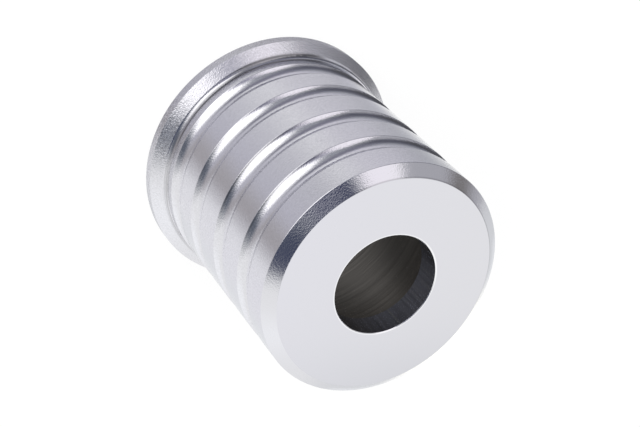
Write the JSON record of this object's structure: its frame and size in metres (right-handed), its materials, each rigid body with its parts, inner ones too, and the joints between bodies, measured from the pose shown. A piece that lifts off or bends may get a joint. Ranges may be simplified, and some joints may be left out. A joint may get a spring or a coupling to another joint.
{
  "type": "pushbutton housing",
  "caption": "Turned aluminium sleeve with a flanged base, a grooved side wall and a round button hole in its closed front plate.",
  "frame": {"origin": "centre of the flange's back face, which the housing stands on", "axes": "+Z along the turning axis, from the flange to the front plate with the button hole"},
  "size_m": [0.05, 0.05, 0.0491],
  "materials": {
    "anodised_aluminium": "bead-blasted and clear anodised, satin"
  },
  "bodies": {
    "root": {"housing": "anodised_aluminium"}
  },
  "joints": []
}
